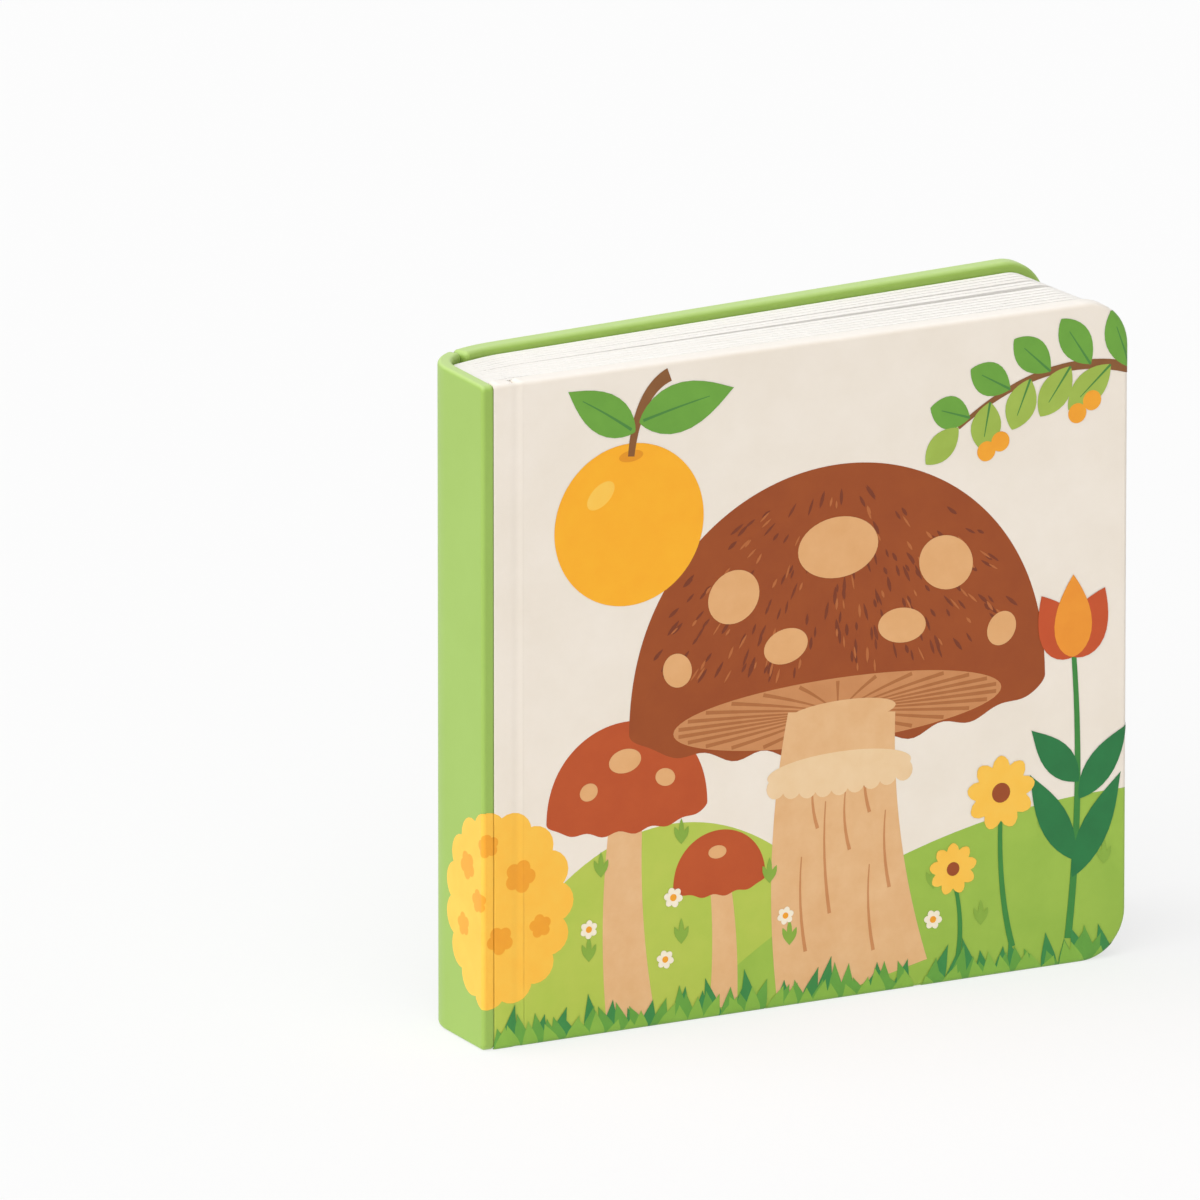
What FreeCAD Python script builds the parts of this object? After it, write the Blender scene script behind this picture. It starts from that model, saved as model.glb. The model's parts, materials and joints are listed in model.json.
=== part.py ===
import FreeCAD, Part
import math
import os
import Sketcher

# A board book that stands upright, its leaves fanned a little at the fore-edge.
# X runs from the spine to the fore-edge, Y from the front cover to the back cover, Z from foot to head.
# Each piece is drawn from the spine's outer face and the front cover's outer face,
# and its placement then moves it to the middle of the book's foot.

os.makedirs("parts", exist_ok=True)
doc = FreeCAD.newDocument("BoardBook")

# Driving dimensions in millimetres, degrees and counts
DIMENSIONS = [
    ("book_width", 161.0, "spine face to the fore-edge of the covers"),
    ("book_height", 152.0, "foot to head of the covers and the spine"),
    ("cover_board", 4.6, "thickness of both covers"),
    ("spine_board", 3.2, "thickness of the spine and its bend"),
    ("edge_round", 1.1, "soft rounding of the pressed and laminated edges"),
    ("spine_edge_round", 0.9, "the same rounding on the thinner spine"),
    ("cover_corner", 11.0, "fore-edge corners of the covers"),
    ("crease_corner", 1.4, "corners beside a crease"),
    ("front_crease_inset", 8.6, "spine face to the front cover's crease"),
    ("crease_gap", 0.3, "room between the boards at a crease"),
    ("spine_flat", 18.2, "flat width of the spine before it bends to the back"),
    ("back_bend_radius", 13.5, "outer radius of the spine's bend"),
    ("back_crease_angle", 25.0, "slope of the spine's bend where the back cover starts"),
    ("back_swell_radius", 30.0, "outer radius of the back cover beside its crease"),
    ("fan_angle", 4.0, "splay of the back cover"),
    ("page_square", 2.4, "how far the back cover stands past the leaves"),
    ("page_corner", 8.6, "fore-edge corners of the leaves, at the back cover"),
    ("front_page_square", 0.5, "how far the front cover stands past the leaves"),
    ("front_page_corner", 10.5, "fore-edge corners of the leaves, at the front cover"),
    ("leaf_thickness", 1.65, "one leaf of page board"),
    ("pressed_leaf", 1.5, "one leaf where it is pressed into the glue"),
    ("front_leaves", 7, "leaves in front of the widest gap"),
    ("middle_leaves", 2, "leaves between the two gaps"),
    ("back_leaves", 4, "leaves behind the second gap"),
    ("wide_gap_share", 4.2, "widest gap beside the gap between two ordinary leaves"),
    ("second_gap_share", 2.2, "second gap beside the gap between two ordinary leaves"),
    ("leaf_clearance", 0.3, "room between the leaves and a cover"),
    ("glue_depth", 3.0, "how far the glued back of the leaves reaches from the spine"),
    ("spine_relief", 0.5, "how much earlier the glued leaves bend than the spine"),
    ("last_leaf_angle", 20.0, "slope of the last leaf where it leaves the glue"),
    ("leaf_ease", 4.5, "length over which a leaf eases out of the glue"),
    ("root_opening", 1.5, "angle at which two leaves part beside the glue"),
]

sizes = doc.addObject("Spreadsheet::Sheet", "Sizes")
size = {}
for row, (alias, number, note) in enumerate(DIMENSIONS, start=1):
    sizes.set(f"A{row}", alias)
    sizes.set(f"B{row}", str(number))
    sizes.set(f"C{row}", note)
    sizes.setAlias(f"B{row}", alias)
doc.recompute()
for alias, number, note in DIMENSIONS:
    size[alias] = float(getattr(sizes, alias))

# Points of the book's section that several pieces share, as formulas of the sheet and as numbers
CREASE_X = "Sizes.back_bend_radius * (1 - sin(Sizes.back_crease_angle * 1deg))"
CREASE_Y = "(Sizes.spine_flat + Sizes.back_bend_radius * cos(Sizes.back_crease_angle * 1deg))"
SWELL_CENTRE_X = f"({CREASE_X} + Sizes.back_swell_radius * sin(Sizes.back_crease_angle * 1deg))"
SWELL_CENTRE_Y = f"({CREASE_Y} - Sizes.back_swell_radius * cos(Sizes.back_crease_angle * 1deg))"
SWELL_END_X = f"({SWELL_CENTRE_X} - Sizes.back_swell_radius * sin(Sizes.fan_angle * 1deg))"
SWELL_END_Y = f"({SWELL_CENTRE_Y} + Sizes.back_swell_radius * cos(Sizes.fan_angle * 1deg))"
FLAT_LENGTH = f"(Sizes.book_width - Sizes.edge_round - {SWELL_END_X})"
BOOK_DEPTH = f"({SWELL_END_Y} + {FLAT_LENGTH} * tan(Sizes.fan_angle * 1deg))"

crease_slope = math.radians(size["back_crease_angle"])
fan_slope = math.radians(size["fan_angle"])
bend_centre = (size["back_bend_radius"], size["spine_flat"])
crease_x = bend_centre[0] - size["back_bend_radius"] * math.sin(crease_slope)
crease_y = bend_centre[1] + size["back_bend_radius"] * math.cos(crease_slope)
swell_centre = (
    crease_x + size["back_swell_radius"] * math.sin(crease_slope),
    crease_y - size["back_swell_radius"] * math.cos(crease_slope),
)
swell_end_x = swell_centre[0] - size["back_swell_radius"] * math.sin(fan_slope)
swell_end_y = swell_centre[1] + size["back_swell_radius"] * math.cos(fan_slope)
flat_length = size["book_width"] - size["edge_round"] - swell_end_x
book_depth = swell_end_y + flat_length * math.tan(fan_slope)


def back_face_y(x, inwards):
    """Height in the section of the back cover's flat face, or of a face parallel to it further in."""
    return swell_end_y + (x - swell_end_x) * math.tan(fan_slope) - inwards / math.cos(fan_slope)


def centre_on_foot(piece):
    """Move a piece from the drawing's corner to the middle of the book's foot."""
    piece.setExpression("Placement.Base.x", "-Sizes.book_width / 2")
    piece.setExpression("Placement.Base.y", f"-{BOOK_DEPTH} / 2")


def new_body(label):
    body = doc.addObject("PartDesign::Body", label)
    body.Label = label
    centre_on_foot(body)
    return body


def new_sketch(body, name, role):
    sketch = body.newObject("Sketcher::SketchObject", name)
    for feature in body.Origin.OriginFeatures:
        if feature.Role == role:
            sketch.AttachmentSupport = [(feature, "")]
    sketch.MapMode = "FlatFace"
    return sketch


def constrain(sketch, kind, *places, name=None, formula=None):
    """Add one constraint, and tie it to the sheet where it has a formula."""
    index = sketch.addConstraint(Sketcher.Constraint(kind, *places))
    if formula:
        sketch.renameConstraint(index, name)
        sketch.setExpression(f"Constraints.{name}", formula)
    return index


def line(x1, y1, x2, y2):
    return Part.LineSegment(FreeCAD.Vector(x1, y1, 0), FreeCAD.Vector(x2, y2, 0))


def arc(centre, radius, start, end):
    """Arc about the vertical, drawn anticlockwise between two angles in radians."""
    circle = Part.Circle(FreeCAD.Vector(centre[0], centre[1], 0), FreeCAD.Vector(0, 0, 1), radius)
    return Part.ArcOfCircle(circle, start, end)


def fillet(body, base, name, edges, alias):
    feature = body.newObject("PartDesign::Fillet", name)
    feature.Base = (base, edges)
    feature.Radius = size[alias]
    feature.setExpression("Radius", f"Sizes.{alias}")
    doc.recompute()
    return feature


def is_sharp(shape, edge):
    """True where the two faces beside an edge meet at a clear angle."""
    middle = edge.valueAt((edge.FirstParameter + edge.LastParameter) / 2)
    normals = []
    for face in shape.ancestorsOfType(edge, Part.Face):
        u, v = face.Surface.parameter(middle)
        normals.append(face.normalAt(u, v))
    return len(normals) == 2 and normals[0].getAngle(normals[1]) > math.radians(45)


def rim_edges(shape, on_face):
    """Names of the sharp edges that lie on a face all along, by a test on points."""
    names = []
    for number, edge in enumerate(shape.Edges, start=1):
        middle = edge.valueAt((edge.FirstParameter + edge.LastParameter) / 2)
        points = [vertex.Point for vertex in edge.Vertexes] + [middle]
        if all(on_face(point) for point in points) and is_sharp(shape, edge):
            names.append(f"Edge{number}")
    return names


NEAR = 0.01  # mm, how close a point lies to a face that it is on


def panel_outline(sketch, left, right, left_corner, right_corner):
    """Upright rectangle with rounded corners. Each side and corner radius is a number and its formula."""
    height = size["book_height"]
    (x1, x1_formula), (x2, x2_formula) = left, right
    (r1, r1_formula), (r2, r2_formula) = left_corner, right_corner
    quarter = math.pi / 2
    sketch.addGeometry([
        line(x1 + r1, 0, x2 - r2, 0),
        arc((x2 - r2, r2), r2, -quarter, 0),
        line(x2, r2, x2, height - r2),
        arc((x2 - r2, height - r2), r2, 0, quarter),
        line(x2 - r2, height, x1 + r1, height),
        arc((x1 + r1, height - r1), r1, quarter, 2 * quarter),
        line(x1, height - r1, x1, r1),
        arc((x1 + r1, r1), r1, 2 * quarter, 3 * quarter),
    ], False)
    foot, low_right, fore_edge, high_right, head, high_left, crease, low_left = range(8)
    start, end, centre_of_sheet = 1, 2, -1
    loop = [foot, low_right, fore_edge, high_right, head, high_left, crease, low_left]
    for this, following in zip(loop, loop[1:] + loop[:1]):
        constrain(sketch, "Tangent", this, end, following, start)
    constrain(sketch, "Horizontal", foot)
    constrain(sketch, "Vertical", fore_edge)
    constrain(sketch, "Equal", low_right, high_right)
    constrain(sketch, "Equal", low_left, high_left)
    constrain(sketch, "PointOnObject", foot, start, centre_of_sheet)
    constrain(sketch, "Radius", low_right, r2, name="outer_corner", formula=r2_formula)
    constrain(sketch, "Radius", low_left, r1, name="inner_corner", formula=r1_formula)
    constrain(sketch, "DistanceX", centre_of_sheet, 1, crease, start, x1, name="left", formula=x1_formula)
    constrain(sketch, "DistanceX", centre_of_sheet, 1, fore_edge, end, x2, name="right", formula=x2_formula)
    constrain(sketch, "DistanceY", foot, start, head, start, height, name="height",
              formula="Sizes.book_height")


def upright_panel(label, left, right, left_corner, right_corner):
    """Flat board behind the front face, with all its edges rounded."""
    body = new_body(label)
    sketch = new_sketch(body, f"{label}_outline", "XZ_Plane")
    panel_outline(sketch, left, right, left_corner, right_corner)
    board = body.newObject("PartDesign::Pad", f"{label}_board")
    board.Profile = sketch
    board.Length = size["cover_board"]
    board.setExpression("Length", "Sizes.cover_board")
    board.Reversed = True
    doc.recompute()
    inner_face = size["cover_board"]
    rims = rim_edges(board.Shape, lambda p: abs(p.y) < NEAR)
    rims += rim_edges(board.Shape, lambda p: abs(p.y - inner_face) < NEAR)
    fillet(body, board, f"{label}_soft_edges", rims, "edge_round")
    return body


# Front cover: the printed board that swings about the front crease
half_gap = size["crease_gap"] / 2
front_cover = upright_panel(
    "front_cover",
    (size["front_crease_inset"] + half_gap, "Sizes.front_crease_inset + Sizes.crease_gap / 2"),
    (size["book_width"], "Sizes.book_width"),
    (size["crease_corner"], "Sizes.crease_corner"),
    (size["cover_corner"], "Sizes.cover_corner"),
)

# Front hinge strip: the part of the same printed board that is glued down between spine and crease
front_hinge_strip = upright_panel(
    "front_hinge_strip",
    (size["spine_board"], "Sizes.spine_board"),
    (size["front_crease_inset"] - half_gap, "Sizes.front_crease_inset - Sizes.crease_gap / 2"),
    (size["crease_corner"], "Sizes.crease_corner"),
    (size["crease_corner"], "Sizes.crease_corner"),
)


def bent_board(label, draw_profile):
    """Board with a drawn section, run up the whole height of the book."""
    body = new_body(label)
    sketch = new_sketch(body, f"{label}_section", "XY_Plane")
    draw_profile(sketch)
    board = body.newObject("PartDesign::Pad", f"{label}_board")
    board.Profile = sketch
    board.Length = size["book_height"]
    board.setExpression("Length", "Sizes.book_height")
    doc.recompute()
    return body, board


def at_foot_or_head(point):
    return abs(point.z) < NEAR or abs(point.z - size["book_height"]) < NEAR


def from_centre(point, centre):
    return math.hypot(point.x - centre[0], point.y - centre[1])


# Spine wrap: the board of the spine, which bends round to the back crease
bend_end = math.pi / 2 + crease_slope + half_gap / size["back_bend_radius"]
BEND_END_ANGLE = (
    "90deg + Sizes.back_crease_angle * 1deg"
    " + Sizes.crease_gap / 2 / Sizes.back_bend_radius * 1rad"
)


def spine_section(sketch):
    wall = size["spine_board"]
    radius = size["back_bend_radius"]
    inner = radius - wall
    reach = (math.cos(bend_end), math.sin(bend_end))
    outer_end = (bend_centre[0] + radius * reach[0], bend_centre[1] + radius * reach[1])
    inner_end = (bend_centre[0] + inner * reach[0], bend_centre[1] + inner * reach[1])
    sketch.addGeometry([
        line(0, 0, 0, size["spine_flat"]),
        arc(bend_centre, radius, bend_end, math.pi),
        line(outer_end[0], outer_end[1], inner_end[0], inner_end[1]),
        arc(bend_centre, inner, bend_end, math.pi),
        line(wall, size["spine_flat"], wall, 0),
        line(wall, 0, 0, 0),
    ], False)
    outer_flat, outer_bend, crease_end, inner_bend, inner_flat, front_end = range(6)
    start, end, centre, sheet_axis = 1, 2, 3, -1
    constrain(sketch, "Coincident", outer_flat, start, sheet_axis, 1)
    constrain(sketch, "Tangent", outer_flat, end, outer_bend, end)
    constrain(sketch, "Coincident", outer_bend, start, crease_end, start)
    constrain(sketch, "Coincident", crease_end, end, inner_bend, start)
    constrain(sketch, "Tangent", inner_bend, end, inner_flat, start)
    constrain(sketch, "Coincident", inner_flat, end, front_end, start)
    constrain(sketch, "Coincident", front_end, end, outer_flat, start)
    constrain(sketch, "Coincident", outer_bend, centre, inner_bend, centre)
    constrain(sketch, "Vertical", outer_flat)
    constrain(sketch, "Horizontal", front_end)
    constrain(sketch, "PointOnObject", outer_bend, centre, crease_end)
    constrain(sketch, "DistanceY", outer_flat, start, outer_flat, end, size["spine_flat"],
              name="flat", formula="Sizes.spine_flat")
    constrain(sketch, "Radius", outer_bend, radius, name="outer", formula="Sizes.back_bend_radius")
    constrain(sketch, "Radius", inner_bend, inner, name="inner",
              formula="Sizes.back_bend_radius - Sizes.spine_board")
    constrain(sketch, "Angle", sheet_axis, 1, crease_end, end, bend_end, name="bend_end",
              formula=BEND_END_ANGLE)


spine_wrap, spine_base = bent_board("spine_wrap", spine_section)


def on_spine_face(point, offset):
    """True on the face that lies offset inside the spine's outer face, flat or bent."""
    if point.y <= size["spine_flat"] + NEAR:
        return abs(point.x - offset) < NEAR
    return abs(from_centre(point, bend_centre) - (size["back_bend_radius"] - offset)) < NEAR


def across_board(edge, on_outer, on_inner):
    """True for an edge of the foot or head that crosses a board's thickness."""
    ends = [vertex.Point for vertex in edge.Vertexes]
    if len(ends) != 2 or not all(at_foot_or_head(point) for point in ends):
        return False
    return any(on_outer(point) for point in ends) and any(on_inner(point) for point in ends)


def on_spine_outside(point):
    return on_spine_face(point, 0)


def on_spine_inside(point):
    return on_spine_face(point, size["spine_board"])


crossing = [
    f"Edge{number}" for number, edge in enumerate(spine_base.Shape.Edges, start=1)
    if across_board(edge, on_spine_outside, on_spine_inside)
]
spine_corners = fillet(spine_wrap, spine_base, "spine_corners", crossing, "crease_corner")
spine_rims = rim_edges(spine_corners.Shape, on_spine_outside)
spine_rims += rim_edges(spine_corners.Shape, on_spine_inside)
fillet(spine_wrap, spine_corners, "spine_soft_edges", spine_rims, "spine_edge_round")


# Back cover: the unprinted board that bends out of the spine and splays towards the fore-edge
swell_start = math.pi / 2 + crease_slope - half_gap / size["back_swell_radius"]
swell_end = math.pi / 2 + fan_slope
SWELL_START_ANGLE = (
    "90deg + Sizes.back_crease_angle * 1deg"
    " - Sizes.crease_gap / 2 / Sizes.back_swell_radius * 1rad"
)


def back_section(sketch):
    outer = size["back_swell_radius"]
    inner = outer - size["cover_board"]
    right = size["book_width"]

    def on_swell(radius, angle):
        return (
            swell_centre[0] + radius * math.cos(angle),
            swell_centre[1] + radius * math.sin(angle),
        )

    sketch.addGeometry([
        arc(swell_centre, outer, swell_end, swell_start),
        line(*on_swell(outer, swell_end), right, back_face_y(right, 0)),
        line(right, back_face_y(right, 0), right, back_face_y(right, size["cover_board"])),
        line(right, back_face_y(right, size["cover_board"]), *on_swell(inner, swell_end)),
        arc(swell_centre, inner, swell_end, swell_start),
        line(*on_swell(inner, swell_start), *on_swell(outer, swell_start)),
    ], False)
    outer_swell, outer_flat, fore_edge, inner_flat, inner_swell, crease_end = range(6)
    start, end, centre, sheet_axis = 1, 2, 3, -1
    constrain(sketch, "Tangent", outer_swell, start, outer_flat, start)
    constrain(sketch, "Coincident", outer_flat, end, fore_edge, start)
    constrain(sketch, "Coincident", fore_edge, end, inner_flat, start)
    constrain(sketch, "Tangent", inner_flat, end, inner_swell, start)
    constrain(sketch, "Coincident", inner_swell, end, crease_end, start)
    constrain(sketch, "Coincident", crease_end, end, outer_swell, end)
    constrain(sketch, "Coincident", outer_swell, centre, inner_swell, centre)
    constrain(sketch, "Vertical", fore_edge)
    constrain(sketch, "Parallel", outer_flat, inner_flat)
    constrain(sketch, "PointOnObject", outer_swell, centre, crease_end)
    constrain(sketch, "Radius", outer_swell, outer, name="outer", formula="Sizes.back_swell_radius")
    constrain(sketch, "Radius", inner_swell, inner, name="inner",
              formula="Sizes.back_swell_radius - Sizes.cover_board")
    constrain(sketch, "DistanceX", sheet_axis, 1, outer_swell, centre, swell_centre[0],
              name="centre_x", formula=SWELL_CENTRE_X)
    constrain(sketch, "DistanceY", sheet_axis, 1, outer_swell, centre, swell_centre[1],
              name="centre_y", formula=SWELL_CENTRE_Y)
    constrain(sketch, "DistanceX", sheet_axis, 1, outer_flat, end, right,
              name="right", formula="Sizes.book_width")
    constrain(sketch, "Angle", sheet_axis, 1, outer_flat, start, fan_slope,
              name="fan", formula="Sizes.fan_angle * 1deg")
    constrain(sketch, "Angle", sheet_axis, 1, crease_end, start, swell_start,
              name="swell_start", formula=SWELL_START_ANGLE)


back_cover, back_base = bent_board("back_cover", back_section)


def on_back_face(point, inwards):
    """True on the face that lies inwards of the back cover's outer face, flat or swelling."""
    flat_start = swell_end_x + inwards * math.sin(fan_slope)
    if point.x >= flat_start - NEAR:
        return abs(point.y - back_face_y(point.x, inwards)) < NEAR
    return abs(from_centre(point, swell_centre) - (size["back_swell_radius"] - inwards)) < NEAR


def on_back_outside(point):
    return on_back_face(point, 0)


def on_back_inside(point):
    return on_back_face(point, size["cover_board"])


def crossing_edges(at_fore_edge):
    right = size["book_width"]
    names = []
    for number, edge in enumerate(back_cover.Tip.Shape.Edges, start=1):
        if across_board(edge, on_back_outside, on_back_inside):
            if (abs(edge.CenterOfMass.x - right) < NEAR) == at_fore_edge:
                names.append(f"Edge{number}")
    return names


back_corners = fillet(back_cover, back_base, "back_fore_edge_corners", crossing_edges(True),
                      "cover_corner")
back_corners = fillet(back_cover, back_corners, "back_crease_corners", crossing_edges(False),
                      "crease_corner")
back_rims = rim_edges(back_corners.Shape, on_back_outside)
back_rims += rim_edges(back_corners.Shape, on_back_inside)
fillet(back_cover, back_corners, "back_soft_edges", back_rims, "edge_round")


# Leaves: one solid, glued into the spine, whose boards separate and fan towards the fore-edge
leaf_count = int(size["front_leaves"] + size["middle_leaves"] + size["back_leaves"])
leaf = size["leaf_thickness"]
pressed_leaf = size["pressed_leaf"]
page_front = size["cover_board"] + size["leaf_clearance"]
fore_edge_x = size["book_width"] - size["front_page_square"]
inner_bend = size["back_bend_radius"] - size["spine_board"]
fan_start_x = swell_end_x + size["cover_board"] * math.sin(fan_slope)

gap_shares = [1.0] * (leaf_count - 1)
gap_shares[int(size["front_leaves"]) - 1] = size["wide_gap_share"]
gap_shares[int(size["front_leaves"] + size["middle_leaves"]) - 1] = size["second_gap_share"]


def page_line(gap_number, leaves_before, x):
    """Height in the section of a leaf's face, in the part where the leaves are straight."""
    back_limit = back_face_y(x, size["cover_board"] + size["leaf_clearance"])
    slack = back_limit - page_front - leaf_count * leaf
    return page_front + leaves_before * leaf + slack * sum(gap_shares[:gap_number]) / sum(gap_shares)


def page_slope(gap_number, leaves_before):
    rise = page_line(gap_number, leaves_before, fore_edge_x)
    rise -= page_line(gap_number, leaves_before, fan_start_x)
    return math.atan2(rise, fore_edge_x - fan_start_x)


def flat_point(x, y):
    return FreeCAD.Vector(x, y, size["front_page_square"])


def easing_curve(root, root_slope, gap_number, leaves_before):
    """Curve on which a leaf's face eases out of the glue into its straight part."""
    ease = size["leaf_ease"]
    slope = page_slope(gap_number, leaves_before)
    target = flat_point(fan_start_x, page_line(gap_number, leaves_before, fan_start_x))
    curve = Part.BezierCurve()
    curve.setPoles([
        root,
        root + FreeCAD.Vector(math.cos(root_slope), math.sin(root_slope), 0) * ease,
        target - FreeCAD.Vector(math.cos(slope), math.sin(slope), 0) * ease,
        target,
    ])
    return curve.toShape()


def leaf_face_edges(root, root_slope, gap_number, leaves_before):
    """Curved and straight edge of one leaf's face, from the glue to the fore-edge."""
    bend = easing_curve(root, root_slope, gap_number, leaves_before)
    far = flat_point(fore_edge_x, page_line(gap_number, leaves_before, fore_edge_x))
    return [bend, Part.LineSegment(bend.Vertexes[-1].Point, far).toShape()]


# Side of the block that is glued into the spine, straight and then round its bend
spine_inside_x = size["spine_board"]
relief_centre_y = size["spine_flat"] - size["spine_relief"]
last_root_y = page_front + leaf_count * pressed_leaf
rise_on_bend = last_root_y - relief_centre_y
last_root_x = size["back_bend_radius"] - math.sqrt(inner_bend ** 2 - rise_on_bend ** 2)
bend_start = flat_point(spine_inside_x, relief_centre_y)
half_turn = math.asin(rise_on_bend / inner_bend) / 2
bend_middle = flat_point(
    size["back_bend_radius"] - inner_bend * math.cos(half_turn),
    relief_centre_y + inner_bend * math.sin(half_turn),
)
last_root = flat_point(last_root_x, last_root_y)
root_x = spine_inside_x + size["glue_depth"]
strip_end_x = size["front_crease_inset"] - size["crease_gap"] * 2
foot_front = flat_point(spine_inside_x, size["cover_board"])
strip_end = flat_point(strip_end_x - size["leaf_clearance"], size["cover_board"])
first_free = flat_point(strip_end_x, page_front)
outline = [
    Part.LineSegment(foot_front, strip_end).toShape(),
    Part.LineSegment(strip_end, first_free).toShape(),
    Part.LineSegment(first_free, flat_point(fore_edge_x, page_front)).toShape(),
]
for number in range(leaf_count):
    outline.append(Part.LineSegment(
        flat_point(fore_edge_x, page_line(number, number, fore_edge_x)),
        flat_point(fore_edge_x, page_line(number, number + 1, fore_edge_x)),
    ).toShape())
    if number == leaf_count - 1:
        outline += leaf_face_edges(
            last_root, math.radians(size["last_leaf_angle"]), number, leaf_count)
        break
    root = flat_point(root_x, page_front + (number + 1) * pressed_leaf)
    share = (number + 1) / leaf_count
    root_slope = math.radians(size["last_leaf_angle"]) * share ** 2
    root_opening = math.radians(size["root_opening"]) / 2 * gap_shares[number]
    outline += leaf_face_edges(root, root_slope - root_opening, number, number + 1)
    outline += leaf_face_edges(root, root_slope + root_opening, number + 1, number + 1)
outline += [
    Part.Arc(bend_start, bend_middle, last_root).toShape(),
    Part.LineSegment(bend_start, foot_front).toShape(),
]
section = Part.Face(Part.Wire(Part.__sortEdges__(outline)))
leaf_height = size["book_height"] - 2 * size["front_page_square"]
fanned = section.extrude(FreeCAD.Vector(0, 0, leaf_height))


def trimmed_outline(y, square, corner):
    """Upright outline of a leaf at one depth, with rounded fore-edge corners."""
    right = size["book_width"] - square
    foot = square
    head = size["book_height"] - square
    short = corner * (1 - math.cos(math.pi / 4))
    points = [
        FreeCAD.Vector(0, y, foot),
        FreeCAD.Vector(right - corner, y, foot),
        FreeCAD.Vector(right - short, y, foot + short),
        FreeCAD.Vector(right, y, foot + corner),
        FreeCAD.Vector(right, y, head - corner),
        FreeCAD.Vector(right - short, y, head - short),
        FreeCAD.Vector(right - corner, y, head),
        FreeCAD.Vector(0, y, head),
    ]
    return Part.Wire([
        Part.makeLine(points[0], points[1]),
        Part.Arc(points[1], points[2], points[3]).toShape(),
        Part.makeLine(points[3], points[4]),
        Part.Arc(points[4], points[5], points[6]).toShape(),
        Part.makeLine(points[6], points[7]),
        Part.makeLine(points[7], points[0]),
    ])


# The leaves are trimmed together, nearly flush at the front cover and shorter towards the back one
trim_block = Part.makeLoft([
    trimmed_outline(0, size["front_page_square"], size["front_page_corner"]),
    trimmed_outline(book_depth, size["page_square"], size["page_corner"]),
], True, True)
page_block = doc.addObject("Part::Feature", "page_block")
page_block.Label = "page_block"
page_block.Shape = fanned.common(trim_block)
centre_on_foot(page_block)

doc.recompute()

pieces = [spine_wrap, front_hinge_strip, front_cover, back_cover, page_block]
for thing in doc.Objects:
    if "Invalid" in thing.State or "Error" in thing.State:
        raise RuntimeError(f"{thing.Label} did not build: {thing.State}")
for piece in pieces:
    if piece.Shape.isNull() or not piece.Shape.isValid() or len(piece.Shape.Solids) != 1:
        raise RuntimeError(f"{piece.Label} is not one valid solid")

for piece in pieces:
    piece.Shape.exportStep(f"parts/{piece.Label}.step")
    box = piece.Shape.BoundBox
    print(f"{piece.Label}: {piece.Shape.Volume / 1000:.1f} cm3, X {box.XMin:.2f} to {box.XMax:.2f},"
          f" Y {box.YMin:.2f} to {box.YMax:.2f}, Z {box.ZMin:.2f} to {box.ZMax:.2f}")
print(f"front crease at X {size['front_crease_inset'] - size['book_width'] / 2:.3f},"
      f" Y {-book_depth / 2:.3f}")
print(f"back crease at X {crease_x - size['book_width'] / 2:.3f}, Y {crease_y - book_depth / 2:.3f}")
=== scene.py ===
import bmesh
import bpy
import json
import math
import random
from mathutils import Matrix, Vector


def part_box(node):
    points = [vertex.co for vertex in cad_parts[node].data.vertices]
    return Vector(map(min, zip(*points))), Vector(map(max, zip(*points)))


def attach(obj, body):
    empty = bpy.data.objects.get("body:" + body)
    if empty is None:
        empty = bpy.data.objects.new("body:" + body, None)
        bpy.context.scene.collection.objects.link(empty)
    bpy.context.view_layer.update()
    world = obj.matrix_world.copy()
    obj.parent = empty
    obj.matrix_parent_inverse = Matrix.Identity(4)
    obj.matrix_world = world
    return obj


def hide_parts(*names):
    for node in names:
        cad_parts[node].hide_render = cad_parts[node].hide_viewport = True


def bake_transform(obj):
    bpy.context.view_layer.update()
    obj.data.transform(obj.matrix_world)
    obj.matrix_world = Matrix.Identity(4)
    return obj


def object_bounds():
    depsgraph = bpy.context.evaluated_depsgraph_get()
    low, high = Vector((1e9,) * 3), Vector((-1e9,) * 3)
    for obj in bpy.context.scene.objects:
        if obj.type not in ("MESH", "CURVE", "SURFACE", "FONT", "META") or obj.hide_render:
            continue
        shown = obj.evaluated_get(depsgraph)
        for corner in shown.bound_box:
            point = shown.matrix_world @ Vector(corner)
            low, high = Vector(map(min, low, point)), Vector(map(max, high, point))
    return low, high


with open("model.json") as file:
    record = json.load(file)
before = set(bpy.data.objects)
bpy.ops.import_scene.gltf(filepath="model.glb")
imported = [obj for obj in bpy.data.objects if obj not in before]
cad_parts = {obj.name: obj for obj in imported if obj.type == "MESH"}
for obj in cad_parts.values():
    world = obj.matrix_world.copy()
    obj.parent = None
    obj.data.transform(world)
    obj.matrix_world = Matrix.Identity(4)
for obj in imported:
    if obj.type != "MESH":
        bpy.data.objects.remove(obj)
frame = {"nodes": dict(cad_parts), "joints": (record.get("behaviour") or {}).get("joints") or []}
cad_low, cad_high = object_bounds()


# Camera
# The picture is taken from the spine side and a little above, through a very long lens,
# so that upright and level edges stay almost parallel.
MM = 0.001
book_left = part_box("spine_wrap")[0].x
front_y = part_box("front_cover")[0].y
camera_turn = math.radians(-27.46)
camera_rise = math.radians(16.02)
camera_place = Vector((book_left - 2893.4 * MM, front_y - 5623.6 * MM, 1919.4 * MM))
towards_camera = Vector((
    math.sin(camera_turn) * math.cos(camera_rise),
    -math.cos(camera_turn) * math.cos(camera_rise),
    math.sin(camera_rise),
))
camera_data = bpy.data.cameras.new("long_lens")
camera_data.lens = 900
camera_data.sensor_width = 36
camera = bpy.data.objects.new("camera", camera_data)
camera.location = camera_place
camera.rotation_mode = "QUATERNION"
camera.rotation_quaternion = (-towards_camera).to_track_quat("-Z", "Y")
bpy.context.scene.collection.objects.link(camera)
bpy.context.scene.camera = camera


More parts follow.
